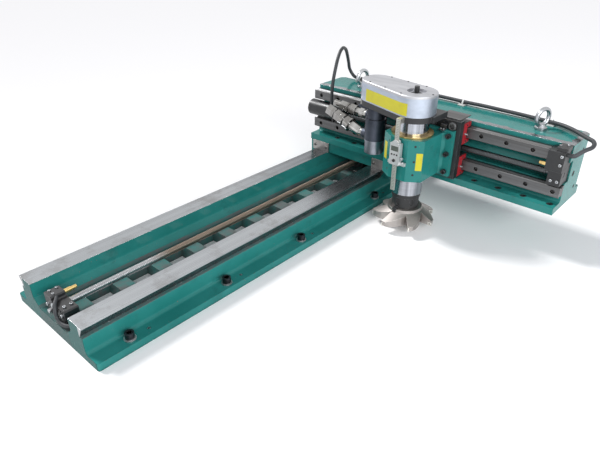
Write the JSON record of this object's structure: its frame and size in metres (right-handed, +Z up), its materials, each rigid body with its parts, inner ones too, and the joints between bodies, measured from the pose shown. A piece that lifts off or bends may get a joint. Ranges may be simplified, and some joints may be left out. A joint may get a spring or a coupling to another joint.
{
  "type": "small on-site bed milling machine",
  "caption": "Low floor bed with dovetail ways, a sliding cross beam and a carriage with a belt-driven quill and face cutter.",
  "frame": {"origin": "centre of the bed casting's underside", "axes": "+X along the cross beam to its long end, +Y along the bed to its drive end, +Z up"},
  "size_m": [1.003, 1.668, 0.4827],
  "materials": {
    "green_paint": "glossy blue-green machine paint over cast iron",
    "ground_steel": "ground and lightly oiled steel",
    "screw_steel": "turned lead screw with a film of grease",
    "black_oxide": "blackened steel",
    "motor_black": "black motor enamel",
    "hose_black": "black corrugated wiring hose",
    "zinc": "bright zinc plate",
    "brass": "turned brass",
    "seal_red": "red end seal",
    "chrome": "hard chrome, ground",
    "cover_alloy": "machined aluminium cover",
    "cutter_nickel": "satin nickel plated cutter body",
    "motor_grey": "dark grey motor casting",
    "scale_steel": "satin stainless scale",
    "rail_steel": "hardened rail",
    "carbide": "coated carbide insert",
    "clip_white": "white plastic"
  },
  "bodies": {
    "bed": {"bed_casting": "green_paint", "bed_bolts": "black_oxide", "near_block": "black_oxide", "near_sensor": "brass", "far_block": "black_oxide", "bed_motor": "motor_black"},
    "bed_screw": {"bed_screw": "screw_steel"},
    "beam": {"saddle": "green_paint", "saddle_gib": "ground_steel", "way_wipers": "ground_steel", "bed_nut": "black_oxide", "beam_casting": "green_paint", "foot_bolts": "black_oxide", "upper_rail": "rail_steel", "lower_rail": "rail_steel", "right_block": "black_oxide", "left_block": "black_oxide", "beam_motor": "motor_black", "beam_sensor": "brass", "eye_bolts": "zinc", "beam_cable": "hose_black", "cable_clips": "clip_white"},
    "beam_screw": {"beam_screw": "screw_steel"},
    "carriage": {"upper_blocks": "rail_steel", "lower_blocks": "rail_steel", "block_seals": "seal_red", "carriage_plate": "black_oxide", "beam_nut": "ground_steel", "head_casting": "green_paint", "head_bolts": "zinc", "quill_ring": "brass", "carriage_cover": "rail_steel", "scale_reader": "scale_steel"},
    "quill": {"quill": "chrome", "belt_plate": "black_oxide", "belt_cover": "cover_alloy", "drive_motor": "motor_grey", "hose_couplings": "zinc", "scale_bar": "scale_steel"},
    "spindle": {"spindle_nose": "black_oxide", "face_cutter": "cutter_nickel", "cutter_inserts": "carbide", "drawbar_end": "black_oxide"}
  },
  "joints": [
    {"name": "beam_slide", "type": "slide", "parent": "bed", "child": "beam", "axis": [0, 1, 0], "range_m": [-1.06, 0.07]},
    {"name": "bed_screw_turn", "type": "hinge", "parent": "bed", "child": "bed_screw", "pos_m": [0, 0, 0.071], "axis": [0, 1, 0], "continuous": true},
    {"name": "carriage_slide", "type": "slide", "parent": "beam", "child": "carriage", "axis": [1, 0, 0], "range_m": [-0.02, 0.23]},
    {"name": "beam_screw_turn", "type": "hinge", "parent": "beam", "child": "beam_screw", "pos_m": [0.3, 0.44, 0.255], "axis": [1, 0, 0], "continuous": true},
    {"name": "quill_feed", "type": "slide", "parent": "carriage", "child": "quill", "axis": [0, 0, 1], "range_m": [-0.02, 0.04]},
    {"name": "spindle_turn", "type": "hinge", "parent": "quill", "child": "spindle", "pos_m": [0.33, 0.3, 0.2], "axis": [0, 0, 1], "continuous": true}
  ],
  "couplings": [
    {"joint": "bed_screw_turn", "follows": "beam_slide", "rad_per_m": 628.32},
    {"joint": "beam_screw_turn", "follows": "carriage_slide", "rad_per_m": 628.32}
  ]
}
